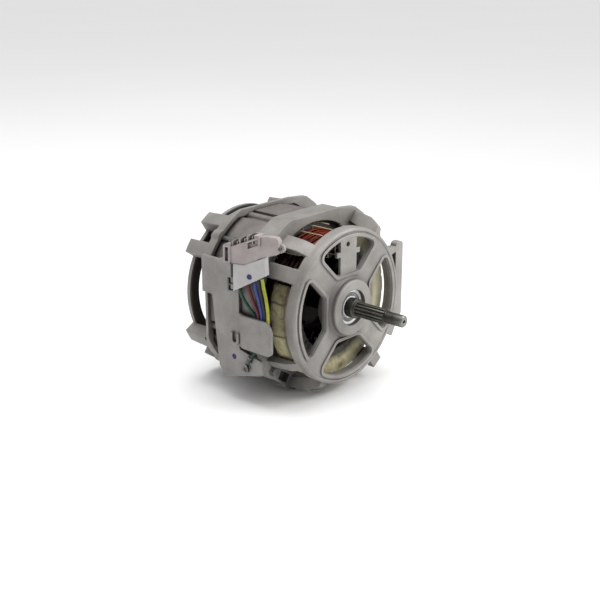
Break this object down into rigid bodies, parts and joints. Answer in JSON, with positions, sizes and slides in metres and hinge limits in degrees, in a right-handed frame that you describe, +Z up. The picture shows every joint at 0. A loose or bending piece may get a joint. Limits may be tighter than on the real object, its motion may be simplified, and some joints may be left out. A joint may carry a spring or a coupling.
{
  "type": "washing machine motor",
  "caption": "Open-frame electric motor for a washing machine: cast end shields clamp a stator stack around a caged rotor on ball bearings with a splined shaft.",
  "frame": {"origin": "on the shaft axis, at the shoulder between the spline and the plain end of the shaft", "axes": "-Y along the shaft, the way it comes out of the motor; +Z up; +X to the right seen from the shaft end, away from the connector"},
  "size_m": [0.1873, 0.223, 0.1707],
  "materials": {
    "cast_aluminium": "matte die-cast",
    "stack_steel": "laminated, matte",
    "rotor_steel": "turned",
    "cage_aluminium": "die-cast",
    "winding_copper": "enamelled",
    "insulation_cream": "matte",
    "lacing_cord": "matte",
    "shaft_steel": "ground and oiled",
    "bearing_steel": "polished",
    "bearing_cage_steel": "pressed",
    "bearing_shield_steel": "pressed",
    "plated_steel": "zinc plated",
    "contact_tin": "tinned",
    "moulded_grey": "satin",
    "lead_green": "satin",
    "lead_red": "satin",
    "lead_blue": "satin",
    "lead_black": "satin",
    "lead_yellow": "satin"
  },
  "bodies": {
    "stator_assembly": {"front_end_shield": "cast_aluminium", "rear_end_shield": "cast_aluminium", "stator_core": "stack_steel", "front_winding": "winding_copper", "rear_winding": "winding_copper", "front_winding_wrap": "insulation_cream", "rear_winding_wrap": "insulation_cream", "front_lacing": "lacing_cord", "front_bearing_outer_ring": "bearing_steel", "rear_bearing_outer_ring": "bearing_steel", "front_bearing_shields": "bearing_shield_steel", "rear_bearing_shields": "bearing_shield_steel", "wave_washer": "bearing_shield_steel", "tie_bolts": "plated_steel", "tie_nuts": "plated_steel", "connector_clip": "plated_steel", "earth_tag": "plated_steel", "earth_screw": "plated_steel", "connector_tabs": "contact_tin", "connector_housing": "moulded_grey", "lead_cover": "moulded_grey", "lead_green": "lead_green", "lead_red": "lead_red", "lead_blue": "lead_blue", "lead_black": "lead_black", "lead_yellow": "lead_yellow"},
    "rotor_assembly": {"shaft": "shaft_steel", "shaft_collar": "shaft_steel", "rear_circlip": "shaft_steel", "rotor_core": "rotor_steel", "rotor_cage": "cage_aluminium", "front_bearing_inner_ring": "bearing_steel", "rear_bearing_inner_ring": "bearing_steel"},
    "front_ball_set": {"front_bearing_balls": "bearing_steel", "front_bearing_cage": "bearing_cage_steel"},
    "rear_ball_set": {"rear_bearing_balls": "bearing_steel", "rear_bearing_cage": "bearing_cage_steel"}
  },
  "joints": [
    {"name": "rotor_spin", "type": "hinge", "parent": "stator_assembly", "child": "rotor_assembly", "pos_m": [0, 0, 0], "axis": [0, -1, 0], "continuous": true},
    {"name": "front_ball_orbit", "type": "hinge", "parent": "stator_assembly", "child": "front_ball_set", "pos_m": [0, 0.0495, 0], "axis": [0, -1, 0], "continuous": true},
    {"name": "rear_ball_orbit", "type": "hinge", "parent": "stator_assembly", "child": "rear_ball_set", "pos_m": [0, 0.1925, 0], "axis": [0, -1, 0], "continuous": true}
  ],
  "couplings": [
    {"joint": "front_ball_orbit", "follows": "rotor_spin", "ratio": 0.382},
    {"joint": "rear_ball_orbit", "follows": "rotor_spin", "ratio": 0.382}
  ]
}
